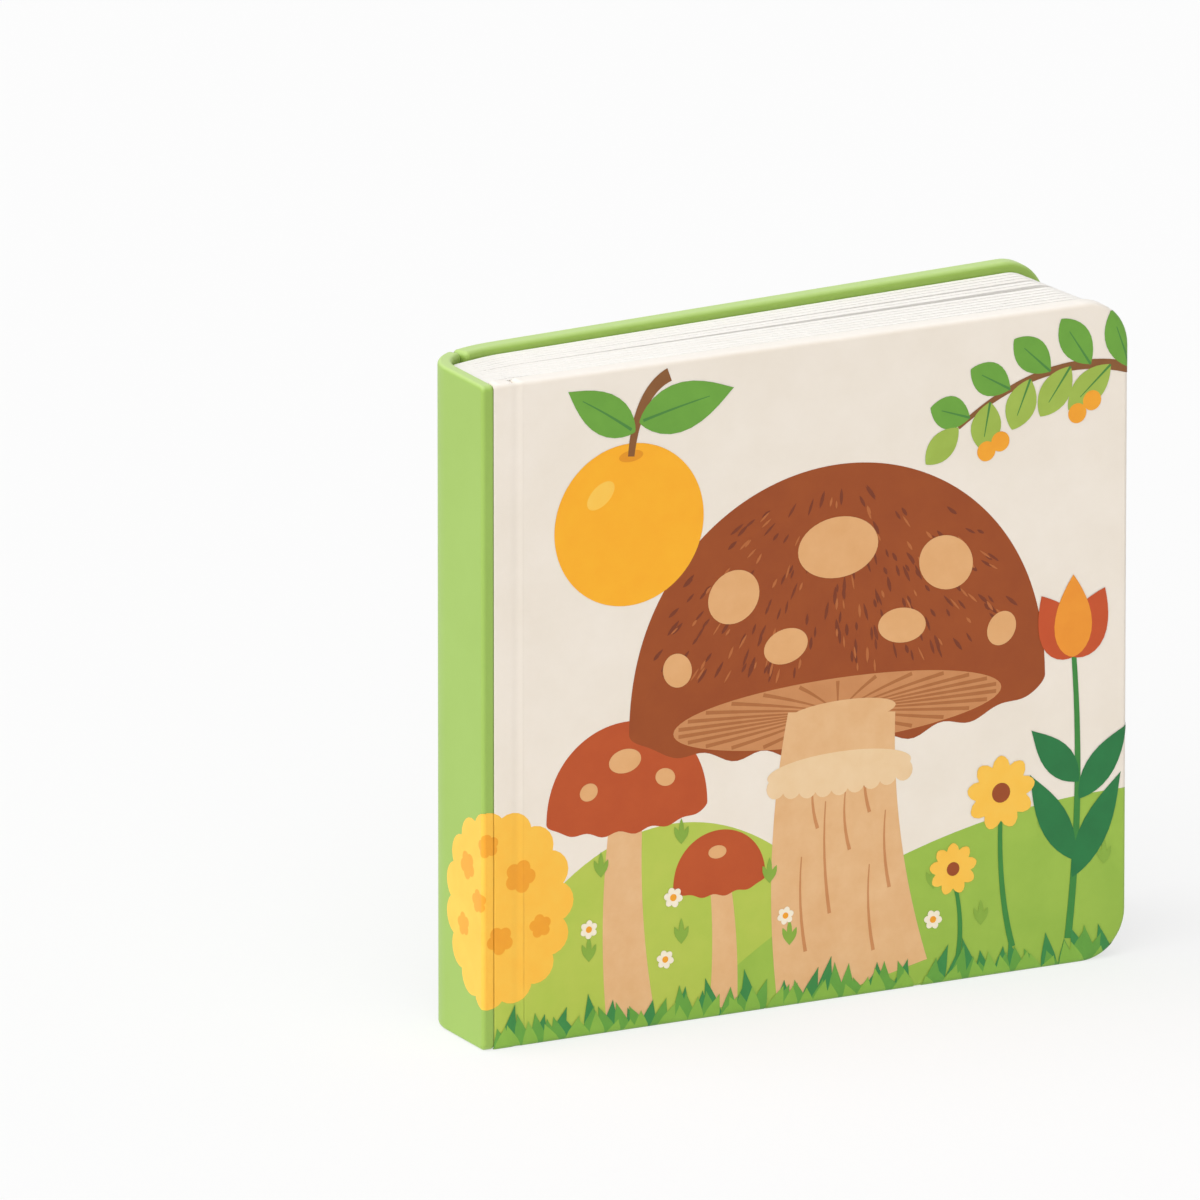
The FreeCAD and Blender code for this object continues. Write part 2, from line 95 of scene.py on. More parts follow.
# Green spine and back cover
# Thick board wrapped in printed paper with a satin film. The spine bends round at the back,
# and the back board is creased where it starts, so that it can swing.
def linear(colour):
    """A hex colour as the eye sees it, turned into the numbers that shaders work in."""
    levels = [int(colour[i:i + 2], 16) / 255 for i in (1, 3, 5)]
    return tuple(c / 12.92 if c < 0.04045 else ((c + 0.055) / 1.055) ** 2.4 for c in levels) + (1,)


def add_node(tree, kind, settings=None, links=None):
    """One node with its settings, or the values of its inputs, and its links."""
    made = tree.nodes.new(kind)
    for name, value in (settings or {}).items():
        if isinstance(name, str) and name in made.bl_rna.properties:
            setattr(made, name, value)
        else:
            made.inputs[name].default_value = value
    for name, source in (links or {}).items():
        tree.links.new(source, made.inputs[name])
    return made


def new_material(name):
    """An empty node material with its output."""
    material = bpy.data.materials.new(name)
    material.use_nodes = True
    material.node_tree.nodes.clear()
    output = add_node(material.node_tree, "ShaderNodeOutputMaterial")
    return material, material.node_tree, output


def laminated_paper(name, colour, shade, cloud_size, rim_highlight=None):
    """Coated paper under a satin film: printed colour with soft clouds in it, and a faint film
    grain. Where a rim highlight colour is given, the rims at head, foot and fore-edge pale with it
    by the way they face: a painted highlight."""
    material, tree, output = new_material(name)
    place = add_node(tree, "ShaderNodeTexCoord")
    clouds = add_node(tree, "ShaderNodeTexNoise",
                      {"Scale": 1 / cloud_size, "Detail": 5, "Roughness": 0.62},
                      {"Vector": place.outputs["Object"]})
    spread = add_node(tree, "ShaderNodeMapRange", {"From Min": 0.3, "From Max": 0.72},
                      {"Value": clouds.outputs["Fac"]})
    ink = add_node(tree, "ShaderNodeMix", {"data_type": "RGBA"},
                   {"Factor": spread.outputs["Result"]})
    ink.inputs[6].default_value = linear(colour)
    ink.inputs[7].default_value = linear(shade)
    printed = ink.outputs[2]
    # Painted highlight: faces that point up, down or towards the fore-edge are paled, as if more
    # strongly lit
    if rim_highlight:
        facing = add_node(tree, "ShaderNodeSeparateXYZ", links={"Vector": place.outputs["Normal"]})
        upright = add_node(tree, "ShaderNodeMath", {"operation": "ABSOLUTE"},
                           {0: facing.outputs["Z"]})
        rim = add_node(tree, "ShaderNodeMath", {"operation": "MAXIMUM"},
                       {0: upright.outputs[0], 1: facing.outputs["X"]})
        highlight_share = add_node(tree, "ShaderNodeMapRange",
                        {"From Min": 0.35, "From Max": 0.95, "To Max": 0.75},
                        {"Value": rim.outputs[0]})
        highlighted = add_node(tree, "ShaderNodeMix", {"data_type": "RGBA"},
                        {0: highlight_share.outputs["Result"], 6: printed})
        highlighted.inputs[7].default_value = linear(rim_highlight)
        printed = highlighted.outputs[2]
    film_grain = 0.5 * MM  # finer on the real film, drawn as coarse as it needs to show
    grain = add_node(tree, "ShaderNodeTexNoise", {"Scale": 1 / film_grain, "Detail": 2},
                     {"Vector": place.outputs["Object"]})
    film = add_node(tree, "ShaderNodeBump", {"Strength": 0.12, "Distance": 0.05 * MM},
                    {"Height": grain.outputs["Fac"]})
    shader = add_node(tree, "ShaderNodeBsdfPrincipled",
                      {"Roughness": 0.46, "IOR": 1.5, "Specular IOR Level": 0.35,
                       "Coat Weight": 0.1, "Coat Roughness": 0.34},
                      {"Base Color": printed, "Normal": film.outputs["Normal"]})
    tree.links.new(shader.outputs["BSDF"], output.inputs["Surface"])
    return material


# Green printed paper under a satin film: even colour, a soft broad highlight, no weave
# Its pale rim colour is a painted highlight on the head, foot and fore-edge
green_wrap = laminated_paper("green_laminated_wrap", "#9BBC58", "#97B852", 22 * MM,
                             rim_highlight="#C3DE8C")
for node_name in ("spine_wrap", "back_cover"):
    frame["nodes"][node_name].data.materials[0] = green_wrap


# Cream front cover and hinge strip
# The same kind of board, wrapped in cream printed paper. Between the spine and the crease
# the board is glued down, and beyond the crease it swings.

# Cream paper under the same film: a warm white with faint clouds, like a painted ground
# Its pale rim colour is a painted highlight on the head, foot and fore-edge
cream_wrap = laminated_paper("cream_laminated_wrap", "#F5EBDE", "#F0E5D6", 16 * MM,
                             rim_highlight="#FAF5EE")
for node_name in ("front_cover", "front_hinge_strip"):
    frame["nodes"][node_name].data.materials[0] = cream_wrap


# Leaves
# Thirteen boards of solid white page board, glued along the spine and fanned at the fore-edge.
# Their faces are coated white, and their cut edges show the warmer fibres of the board.
def finished(name, bm, materials):
    """A mesh object made from a bmesh that is then let go."""
    mesh = bpy.data.meshes.new(name)
    bm.to_mesh(mesh)
    bm.free()
    for material in materials:
        mesh.materials.append(material)
    made = bpy.data.objects.new(name, mesh)
    bpy.context.scene.collection.objects.link(made)
    return made


def merged_copy(node):
    """A CAD node's mesh as a bmesh, with its loose triangles merged into whole faces."""
    bm = bmesh.new()
    bm.from_mesh(node.data)
    bmesh.ops.remove_doubles(bm, verts=bm.verts, dist=0.001 * MM)
    bmesh.ops.dissolve_limit(bm, angle_limit=math.radians(0.1), verts=bm.verts, edges=bm.edges)
    return bm


page_low, page_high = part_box("page_block")
spine_depth = 21 * MM  # of the leaves, pressed together at the spine
fanned_depth = 33 * MM  # of the leaves, spread at the fore-edge
ply_count = 39  # three plies in each of thirteen leaves
fibre_length = 26 * MM
# Page board: solid bleached board, coated matt white on its faces and die cut at its edges,
# where faint streaks of its plies run along each leaf
page_board, tree, output = new_material("cut_page_board")
place = add_node(tree, "ShaderNodeTexCoord")
axes = add_node(tree, "ShaderNodeSeparateXYZ", links={"Vector": place.outputs["Object"]})
# The room between the covers grows towards the fore-edge, and the plies follow the leaves in it
wedge = add_node(tree, "ShaderNodeMapRange",
                 {"From Min": page_low.x, "From Max": page_high.x,
                  "To Min": spine_depth, "To Max": fanned_depth},
                 {"Value": axes.outputs["X"]})
depth = add_node(tree, "ShaderNodeMath", {"operation": "SUBTRACT", 1: page_low.y},
                 {0: axes.outputs["Y"]})
share = add_node(tree, "ShaderNodeMath", {"operation": "DIVIDE"},
                 {0: depth.outputs[0], 1: wedge.outputs["Result"]})
ply_place = add_node(tree, "ShaderNodeMath", {"operation": "MULTIPLY", 1: ply_count},
                     {0: share.outputs[0]})
along_fibre = add_node(tree, "ShaderNodeMath", {"operation": "MULTIPLY", 1: 1 / fibre_length},
                       {0: axes.outputs["X"]})
up_fibre = add_node(tree, "ShaderNodeMath", {"operation": "MULTIPLY", 1: 1 / fibre_length},
                    {0: axes.outputs["Z"]})
fibre_place = add_node(tree, "ShaderNodeCombineXYZ",
                       links={"X": along_fibre.outputs[0], "Y": ply_place.outputs[0],
                              "Z": up_fibre.outputs[0]})
fibres = add_node(tree, "ShaderNodeTexNoise", {"Scale": 1, "Detail": 1, "Roughness": 0.4},
                  {"Vector": fibre_place.outputs[0]})
fibre_tint = add_node(tree, "ShaderNodeMapRange", {"From Min": 0.35, "From Max": 0.8},
                      {"Value": fibres.outputs["Fac"]})
cut = add_node(tree, "ShaderNodeMix", {"data_type": "RGBA"}, {0: fibre_tint.outputs["Result"]})
cut.inputs[6].default_value = linear("#FBF8F3")
cut.inputs[7].default_value = linear("#F6F1EA")
facing = add_node(tree, "ShaderNodeSeparateXYZ", links={"Vector": place.outputs["Normal"]})
sideways = add_node(tree, "ShaderNodeMath", {"operation": "ABSOLUTE"}, {0: facing.outputs["Y"]})
coated = add_node(tree, "ShaderNodeMath", {"operation": "GREATER_THAN", 1: 0.6},
                  {0: sideways.outputs[0]})
paper = add_node(tree, "ShaderNodeMix", {"data_type": "RGBA"},
                 {0: coated.outputs[0], 6: cut.outputs[2]})
paper.inputs[7].default_value = linear("#F7F4EF")
fibre_relief = add_node(tree, "ShaderNodeBump", {"Strength": 0.1, "Distance": 0.05 * MM},
                        {"Height": fibres.outputs["Fac"]})
shader = add_node(tree, "ShaderNodeBsdfPrincipled", {"Roughness": 0.82, "IOR": 1.5},
                  {"Base Color": paper.outputs[2], "Normal": fibre_relief.outputs["Normal"]})
tree.links.new(shader.outputs["BSDF"], output.inputs["Surface"])
frame["nodes"]["page_block"].data.materials[0] = page_board
# Die cutting and trimming leave the free edges of each leaf a little rounded
leaf_round = 0.2 * MM
round_steps = 2
glued_depth = 5 * MM  # of the leaves' backs, which stay square
sharp_edge = math.radians(55)
bm = merged_copy(frame["nodes"]["page_block"])
free_edges = [edge for edge in bm.edges
              if edge.calc_face_angle_signed() > sharp_edge
              and min(vert.co.x for vert in edge.verts) > page_low.x + glued_depth]
bmesh.ops.bevel(bm, geom=free_edges, offset=leaf_round, offset_type="OFFSET",
                segments=round_steps, profile=0.5, affect="EDGES", material=-1)
for face in bm.faces:
    face.smooth = True
leaves = finished("fanned_leaves", bm, [page_board])
leaves.data.set_sharp_from_angle(angle=math.radians(50))
weighted = leaves.modifiers.new("flat_faces", "WEIGHTED_NORMAL")
weighted.keep_sharp = True
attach(leaves, "spine_and_leaves")
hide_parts("page_block")


# Paper over the creases
# The wrapping paper runs on from the fixed board to the swinging one, and dips into the crease
# between them. On the real book it is the hinge of each cover; here each sheet is built at rest
# and is not tied to either board.
foot_z, head_z = cad_low.z, cad_high.z
crease_reach = 1.7 * MM  # how far the paper is loose to each side of the crease
loose_columns = 24  # faces across that loose part
glued_column = 0.5 * MM  # width of a face where the paper is glued down
rows = 18  # a third of them up the flat face, and a third round each end
paper_thickness = 0.04 * MM
pressed_end = 0.45 * MM  # the last stretch of the paper, pressed flush with the board
sunk_end = 0.003 * MM  # how far that stretch ends below the board's face
board_round = 1.1 * MM  # rounding of the boards' head and foot, which the paper follows
wrapped_turn = math.radians(60)  # how far it follows that rounding


def crease_paper(name, joint_name, slope, crease_dip, fixed_reach, material):
    """Wrapping paper that bridges a crease and dips into it. Slope is that of the outer face in
    plan, and fixed_reach is how far the sheet runs over the board that doesn't swing."""
    hinge = next(joint for joint in frame["joints"] if joint["name"] == joint_name)
    axis = Vector((hinge["pos_m"][0], hinge["pos_m"][1], 0))
    outwards = 1 if axis.y > 0 else -1
    along = Vector((math.cos(slope), math.sin(slope) * outwards, 0))
    out = Vector((-math.sin(slope), math.cos(slope) * outwards, 0))
    middle = Vector((0, 0, (foot_z + head_z) / 2))
    flat_half = (head_z - foot_z) / 2 - board_round
    columns = loose_columns + round((fixed_reach - crease_reach) / glued_column)
    bm = bmesh.new()
    bmesh.ops.create_grid(bm, x_segments=columns, y_segments=rows, size=1)
    for vertex in bm.verts:
        across = -fixed_reach + (vertex.co.x + 1) / 2 * (fixed_reach + crease_reach)
        loose = max(-1, min(1, across / crease_reach))
        from_end = min(across + fixed_reach, crease_reach - across)
        proud = paper_thickness * math.sin(min(1, from_end / pressed_end) * math.pi / 2)
        inwards = crease_dip * math.cos(loose * math.pi / 2) ** 2 - proud + sunk_end
        # The rows beyond the middle third turn inwards, round the head or the foot
        up = vertex.co.y * 3 * flat_half
        if abs(vertex.co.y) > 1 / 3:
            turn = (abs(vertex.co.y) - 1 / 3) * 1.5 * wrapped_turn
            radius = board_round - inwards
            up = math.copysign(flat_half + radius * math.sin(turn), up)
            inwards += radius * (1 - math.cos(turn))
        vertex.co = axis + middle + along * across - out * inwards + Vector((0, 0, up))
    inner = bmesh.ops.extrude_face_region(bm, geom=bm.faces[:])["geom"]
    inner_verts = [item for item in inner if isinstance(item, bmesh.types.BMVert)]
    bmesh.ops.translate(bm, verts=inner_verts, vec=-out * paper_thickness)
    bmesh.ops.recalc_face_normals(bm, faces=bm.faces[:])
    sheet = finished(name, bm, [material])
    sheet.data.shade_smooth()
    sheet.data.set_sharp_from_angle(angle=math.radians(40))
    start = tuple(axis - along * crease_reach)
    end = tuple(axis + along * crease_reach)
    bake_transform(sheet)
    return sheet, start, end


# The front sheet runs on over the whole glued strip, and laps onto the green spine
strip_low, strip_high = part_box("front_hinge_strip")
spine_lap = 0.5 * MM
front_crease, crease_start, crease_stop = crease_paper(
    "front_crease_paper", "front_cover_hinge", slope=0, crease_dip=0.1 * MM,
    fixed_reach=strip_high.x - strip_low.x + spine_lap,
    material=cream_wrap)
crease_paper(
    "back_crease_paper", "back_cover_hinge", slope=math.radians(25),
    crease_dip=0.45 * MM, fixed_reach=crease_reach,
    material=green_wrap)


# Printed design
# The cover paper is printed in flat gouache colours before it is wrapped: green hills, brown
# mushrooms, an orange fruit on its twig, flowers, and a yellow bush that runs onto the spine.
# Each colour is a very thin closed layer on the board, and follows its rounded edges.
brush = random.Random(7)
inks = {}
layers = []


def layer(name, colour, shade, cloud_size=7 * MM):
    """A new layer of one ink above those before it. Its places are in millimetres, across from
    the corner of the spine and up from the foot."""
    # Printed paper under the satin film: one flat colour with faint brushed clouds in it
    if name not in inks:
        inks[name] = laminated_paper("printed_" + name, colour, shade, cloud_size)
    layers.append((name, bmesh.new()))
    return layers[-1][1]


def placed(bm, verts, across, up, turn=0, long=1, wide=1):
    """Scales a shape, turns it anticlockwise and moves it to its place on the cover."""
    turned = Matrix.Rotation(-math.radians(turn), 4, "Y") @ Matrix.Diagonal((long, 1, wide, 1))
    bmesh.ops.transform(bm, verts=verts, matrix=Matrix.Translation((across, 0, up)) @ turned)


def disc(bm, points):
    """A filled circle of radius 1 in the plane of the cover."""
    return bmesh.ops.create_circle(bm, cap_ends=True, radius=1, segments=points,
                                   matrix=Matrix.Rotation(math.radians(90), 4, "X"))["verts"]


def oval(bm, across, up, wide, tall, turn=0, points=40):
    """A filled oval about its middle."""
    placed(bm, disc(bm, points), across, up, turn, wide / 2, tall / 2)


def leaf(bm, across, up, long, wide, turn, point=0.5, foot=0.2, points=28):
    """A leaf or petal from its foot outwards. Point and foot say how far its ends narrow."""
    verts = disc(bm, points)
    for vert in verts:
        along = vert.co.x
        vert.co.z *= (1 - along) ** point * (1 + along) ** foot
        vert.co.x = along + 1
    placed(bm, verts, across, up, turn, long / 2, wide / 2)


def stroke(bm, start, bend, end, wide, narrow, steps=14):
    """A stalk or brush mark on a curve that leans towards its bend."""
    verts = bmesh.ops.create_grid(bm, x_segments=steps, y_segments=1, size=1)["verts"]
    start, bend, end = Vector(start), Vector(bend), Vector(end)
    for vert in verts:
        share, side = (vert.co.x + 1) / 2, vert.co.y
        middle = start * (1 - share) ** 2 + bend * 2 * share * (1 - share) + end * share ** 2
        ahead = ((bend - start) * (1 - share) + (end - bend) * share).normalized()
        half = (wide + (narrow - wide) * share) / 2 * side
        vert.co = (middle.x - ahead.y * half, 0, middle.y + ahead.x * half)


def cap(bm, across, up, wide, tall, droop, waves, points=200):
    """The domed top of a mushroom, with a gently waved lower rim."""
    verts = disc(bm, points)
    for vert in verts:
        side, height = vert.co.x, vert.co.z
        if height > 0:
            vert.co.z = height ** 0.86 * tall
        else:
            vert.co.z = height * droop * (1 + 0.12 * math.sin(waves * side * math.pi))
        vert.co.x = side * (1 - 0.04 * max(height, 0)) * wide / 2
    placed(bm, verts, across, up)


def scallops(bm, across, up, wide, tall, count, size, turn=0):
    """A round bush or flower head: an oval with smaller ones round its edge."""
    oval(bm, across, up, wide, tall)
    for number in range(count):
        angle = math.radians(turn) + number / count * math.tau
        oval(bm, across + math.cos(angle) * wide / 2, up + math.sin(angle) * tall / 2, size, size,
             points=20)


def dabs(bm, across, up, wide, tall, count, long, thick):
    """Loose short brush marks on a dome, which run down from its top like the fibres of a cap."""
    for _ in range(count):
        angle, reach = brush.uniform(0.04, 0.96) * math.pi, math.sqrt(brush.uniform(0.01, 1))
        x, z = math.cos(angle) * reach * wide / 2, math.sin(angle) * reach * tall
        turn = math.degrees(math.atan2(z - tall * 1.25, x)) + brush.uniform(-8, 8)
        leaf(bm, across + x, up + z, long * brush.uniform(0.6, 1.3),
             thick * brush.uniform(0.7, 1.2), turn, point=0.4, foot=0.5, points=10)


# Hills behind everything
oval(layer("meadow_green", "#BCCB52", "#B0C64A", 14 * MM), 47, -60, 128, 212, points=160)
oval(layer("hill_green", "#A2C34A", "#97BB43", 12 * MM), 158, -84, 300, 246, points=160)

# Yellow bush round the corner of the spine
scallops(layer("bush_yellow", "#FFC748", "#FFBE3E"), 2.5, 32, 30, 36, 15, 9.5)
sprays = layer("bush_orange", "#F8A927", "#F29E22")
for across, up, size in ((-7, 41, 6), (-9, 27, 5), (1, 47, 5), (9, 39, 7), (4, 25, 6), (14, 27, 5),
                         (-2, 34, 5)):
    scallops(sprays, across, up, size * 0.6, size * 0.6, 5, size * 0.5, turn=size * 20)

# Small mushrooms
stalks = layer("stalk_tan", "#EBBE8B", "#E4B17B")
stroke(stalks, (36.5, 2), (33, 26), (35.5, 51), 12, 8)
stroke(stalks, (59.5, 2), (60.5, 18), (58.5, 32), 7, 5)
small_caps = layer("cap_russet", "#C0521C", "#B94B17", 9 * MM)
cap(small_caps, 35.5, 50, 40, 21, 4.5, waves=5, points=120)
cap(small_caps, 58.5, 31, 23, 12, 3, waves=4, points=96)

# Large mushroom: cap, then gills, then the stalk in front of them
cap(layer("cap_brown", "#9F4A10", "#97430C", 9 * MM), 88, 68, 104, 55, 10, waves=7)
oval(layer("gill_tan", "#D08F5A", "#C88550"), 88, 66.5, 82, 15, points=64)
gills = layer("gill_brown", "#B4703C", "#AC6733")
gill_count, across, up = 26, 88, 66.5
for number in range(gill_count):
    angle = (number + 0.5) / gill_count * math.tau
    out = Vector((math.cos(angle) * 40, math.sin(angle) * 6.8))
    stroke(gills, (across + out.x * 0.3, up + out.y * 0.3),
           (across + out.x * 0.6, up + out.y * 0.66), (across + out.x, up + out.y),
           0.35, 0.9, steps=4)
main_stalk = layer("stalk_tan", "#EBBE8B", "#E4B17B")
stroke(main_stalk, (92, 2), (85, 34), (89, 66), 38, 27, steps=24)
oval(main_stalk, 89, 66, 27, 5.5)
grooves = layer("gill_tan", "#D08F5A", "#C88550")
for across, up, long in ((80, 12, 22), (86, 20, 26), (97, 10, 20), (101, 24, 18), (91, 34, 14),
                         (83, 40, 12), (96, 42, 13)):
    stroke(grooves, (across, up), (across - 2, up + long / 2), (across - 1, up + long), 0.9, 0.3,
           steps=6)
ring = layer("stalk_light", "#F3D3A8", "#EECA9A")
oval(ring, 88.4, 53, 36, 8, points=48)
lobes = 9
for number in range(lobes):
    sag = 1.2 * math.sin(number / (lobes - 1) * math.pi)
    oval(ring, 72.5 + number * 4, 50.6 - sag, 4.6, 5, points=16)

# Brush marks and spots on the caps
dabs(layer("cap_dark", "#7E3510", "#74300D"), 88, 76, 92, 43, 170, 3.4, 0.8)
dabs(layer("cap_light", "#BC6A33", "#B3622C"), 88, 76, 88, 42, 80, 3, 0.6)
spots = layer("spot_tan", "#E8B178", "#E2A86D")
for across, up, wide, tall, turn in ((88, 104, 20, 14, 0), (62, 96, 13, 12, 30),
                                     (115, 97, 14, 12, -32), (75, 83, 11, 8, 10),
                                     (104, 84, 12, 8, -8), (48, 81, 7, 8, 25),
                                     (129, 80, 7, 8, -30), (35, 62, 8, 5.5, 5),
                                     (26, 56, 4.5, 4, 20), (45, 57, 5, 4, -20),
                                     (58, 38, 4.5, 3, 0)):
    oval(spots, across, up, wide, tall, turn)

# Orange fruit on its twig
oval(layer("fruit_orange", "#FFB61E", "#FDAE18"), 36, 116, 37, 37, points=96)
oval(layer("fruit_light", "#FFCC55", "#FFC548"), 29, 123.5, 8, 4.6, 40)
oval(layer("fruit_dark", "#EE9C12", "#E8940E"), 36.5, 131.6, 6, 2.6, 4)

# Branch from the upper right, with a leaf to each side in turn
branch = [Vector(place) for place in ((166, 134), (142, 144.5), (118, 127.5))]
twigs = layer("twig_brown", "#8C5A2B", "#824F22")
stroke(twigs, (46, 149), (38, 146), (36.5, 131.5), 3.2, 1.6, steps=20)
stroke(twigs, *branch, 2.8, 1, steps=24)
greens = [layer("leaf_green", "#6FA83A", "#669E35"), layer("leaf_olive", "#A4BD4D", "#9BB445")]
veins = layer("vein_green", "#4C8A3A", "#458236")
leaf(greens[0], 38.5, 139, 24, 11, 12, point=0.6, foot=0.3)
leaf(greens[0], 37.5, 137, 20, 9, 146, point=0.6, foot=0.3)
stroke(veins, (39.5, 139.3), (48, 141.4), (56, 142.8), 0.7, 0.2, steps=6)
stroke(veins, (36.6, 137.6), (30, 142.4), (24.5, 145.6), 0.7, 0.2, steps=6)
branch_leaves = 9
for number in range(branch_leaves):
    share = 0.1 + number * 0.105
    foot = (branch[0] * (1 - share) ** 2 + branch[1] * 2 * share * (1 - share)
            + branch[2] * share ** 2)
    ahead = (branch[1] - branch[0]) * (1 - share) + (branch[2] - branch[1]) * share
    turn = math.degrees(math.atan2(ahead.y, ahead.x)) + (52 if number % 2 else -52)
    long = 14.5 - number * 0.5
    leaf(greens[number % 2], foot.x, foot.y, long, 7.6, turn, point=0.35, foot=0.4)
    tip = Vector((math.cos(math.radians(turn)), math.sin(math.radians(turn)))) * long * 0.72
    stroke(veins, foot, foot + tip / 2, foot + tip, 0.6, 0.2, steps=4)
leaf(greens[1], branch[2].x, branch[2].y, 11, 6.4, 222, point=0.35, foot=0.4)
berries = layer("berry_orange", "#F8A927", "#F29E22")
for across, up in ((151.5, 129.5), (147.8, 127), (128.5, 123), (125, 121.2)):
    oval(berries, across, up, 4.6, 4.6, points=24)

# Tufts and small flowers on the hills
tufts = layer("tuft_green", "#8DB23F", "#84A939")
for across, up in ((29, 36), (49, 41), (71, 29), (76, 14), (112, 22), (124, 12), (140, 31),
                   (155, 22), (49, 18), (26, 17)):
    for turn, long in ((112, 4.6), (90, 6), (66, 4.4)):
        leaf(tufts, across, up, long, 1.3, turn, point=0.6, foot=0.9, points=14)
daisies = layer("daisy_cream", "#FBF1DC", "#F7EBD2")
daisy_hearts = layer("daisy_heart", "#F8A927", "#F29E22")
for across, up, size in ((26, 24.5, 2.2), (47, 29, 2.4), (75, 21, 2.1), (112, 15, 2.3),
                         (155, 33, 2.1), (45, 15, 2.2)):
    for number in range(6):
        leaf(daisies, across, up, size, size * 0.7, number * 60 + across, point=0.1, foot=0.4,
             points=12)
    oval(daisy_hearts, across, up, size * 0.7, size * 0.7, points=12)

# Flowers on the right
flower_stalks = layer("stem_green", "#3C8A39", "#358235")
stroke(flower_stalks, (146, 6), (150, 40), (147, 74), 1.8, 1.2, steps=20)
stroke(flower_stalks, (132, 6), (128, 20), (129, 40), 1.5, 1, steps=14)
stroke(flower_stalks, (118, 4), (120, 14), (117, 24), 1.3, 0.9, steps=14)
blades = layer("blade_green", "#1E7A3E", "#1A7038")
for across, up, long, turn in ((147, 20, 26, 62), (147.5, 24, 24, 118), (148.6, 38, 20, 52),
                               (148.6, 42, 18, 132)):
    leaf(blades, across, up, long, 7, turn, point=0.7, foot=0.4)
petals = layer("petal_yellow", "#FFCA50", "#FFC343")
for across, up, size in ((129, 42, 8.6), (117, 26, 6)):
    for number in range(9):
        leaf(petals, across, up, size, size * 0.5, number * 40 + 10, point=0.1, foot=0.5,
             points=16)
tulips = layer("petal_red", "#C9511F", "#C24A1A")
for turn, long in ((62, 17), (118, 17)):
    leaf(tulips, 147, 71, long, 10, turn, point=0.5, foot=0.1)
leaf(layer("petal_orange", "#F39A2A", "#EE9124"), 147, 71, 19, 9, 90, point=0.5, foot=0.1)
hearts = layer("heart_brown", "#A04A16", "#974210")
for across, up, size in ((129, 42, 4.6), (117, 26, 3.2)):
    oval(hearts, across, up, size, size, points=20)

# Grass along the foot of the cover
grass_start, grass_width = 3, 156
for name, colour, shade, tall, count in (("grass_deep", "#3A8C45", "#33843F", 12, 30),
                                         ("grass_mid", "#68A63F", "#609E39", 10, 40),
                                         ("grass_light", "#8DBB46", "#84B33F", 7.5, 40)):
    grass = layer(name, colour, shade)
    for number in range(count):
        across = grass_start + (number + brush.uniform(0.1, 0.9)) / count * grass_width
        leaf(grass, across, -2.5, tall * brush.uniform(0.65, 1.15), 3.4,
             90 + brush.uniform(-26, 26), point=0.8, foot=0, points=14)

# Cutting of the layers to the surface of each board
lift = 0.004 * MM  # each layer stands this much higher than the one before
corner = 0.26 * MM  # where the rounded corner of the spine faces halfway between its two sides
above = 1 * MM  # how far the cutting columns stand clear of a board
cover_depth = 3.5 * MM  # how far the print follows the rounded edges inwards
crease_depth = 1.2 * MM  # less on the paper of the crease, which is thin


def board_box(board):
    """The lowest and highest corner of a board's mesh."""
    places = [vert.co for vert in board.data.vertices]
    return (Vector(min(place[i] for place in places) for i in range(3)),
            Vector(max(place[i] for place in places) for i in range(3)))


def prisms(shapes, side, depth, board):
    """Solid columns that reach into a board from one side, for the flat shapes near that board."""
    bm = shapes.copy()
    bmesh.ops.scale(bm, vec=(MM, 1, MM), verts=bm.verts)
    low, high = board_box(board)
    if side == "spine":
        reach = (front_y + corner - high.y, front_y + corner - low.y)
    else:
        reach = (low.x - book_left - corner, high.x - book_left - corner)
    missed = [face for face in bm.faces
              if max(vert.co.x for vert in face.verts) < reach[0]
              or min(vert.co.x for vert in face.verts) > reach[1]]
    bmesh.ops.delete(bm, geom=missed, context="FACES")
    grown = bmesh.ops.extrude_face_region(bm, geom=bm.faces[:])
    far_verts = [item for item in grown["geom"] if isinstance(item, bmesh.types.BMVert)]
    bmesh.ops.translate(bm, verts=bm.verts, vec=(0, -above, 0))
    bmesh.ops.translate(bm, verts=far_verts, vec=(0, above + depth, 0))
    if side == "spine":
        bmesh.ops.rotate(bm, verts=bm.verts, cent=(0, 0, 0),
                         matrix=Matrix.Rotation(math.radians(-90), 3, "Z"))
        bmesh.ops.translate(bm, verts=bm.verts, vec=(book_left, front_y + corner, foot_z))
    else:
        bmesh.ops.translate(bm, verts=bm.verts, vec=(book_left + corner, front_y, foot_z))
    bmesh.ops.recalc_face_normals(bm, faces=bm.faces[:])
    return bm


def joined(into, bm):
    """Adds one bmesh to another, and lets it go."""
    passing = bpy.data.meshes.new("passing")
    bm.to_mesh(passing)
    bm.free()
    into.from_mesh(passing)
    bpy.data.meshes.remove(passing)


def ink_patch(plain, columns, level, cut_sides):
    """The faces of a board that lie inside solid columns, raised to the level of their ink."""
    raised = plain.copy()
    for vert, rest in zip(raised.verts, plain.verts):
        vert.co = rest.co + rest.normal * lift * level
    surface = finished("surface", raised, cut_sides)
    tool = finished("columns", columns, cut_sides)
    cut = surface.modifiers.new("cut", "BOOLEAN")
    cut.operation, cut.solver, cut.use_self, cut.object = "INTERSECT", "EXACT", True, tool
    depsgraph = bpy.context.evaluated_depsgraph_get()
    cut_mesh = bpy.data.meshes.new_from_object(surface.evaluated_get(depsgraph))
    patch = bmesh.new()
    patch.from_mesh(cut_mesh)
    for item in (surface, tool):
        data = item.data
        bpy.data.objects.remove(item)
        bpy.data.meshes.remove(data)
    bpy.data.meshes.remove(cut_mesh)
    # The columns' own faces and the inner side of the board carry no ink
    unprinted = [face for face in patch.faces if face.material_index or face.normal.y > 0.5]
    bmesh.ops.delete(patch, geom=unprinted, context="FACES")
    return patch


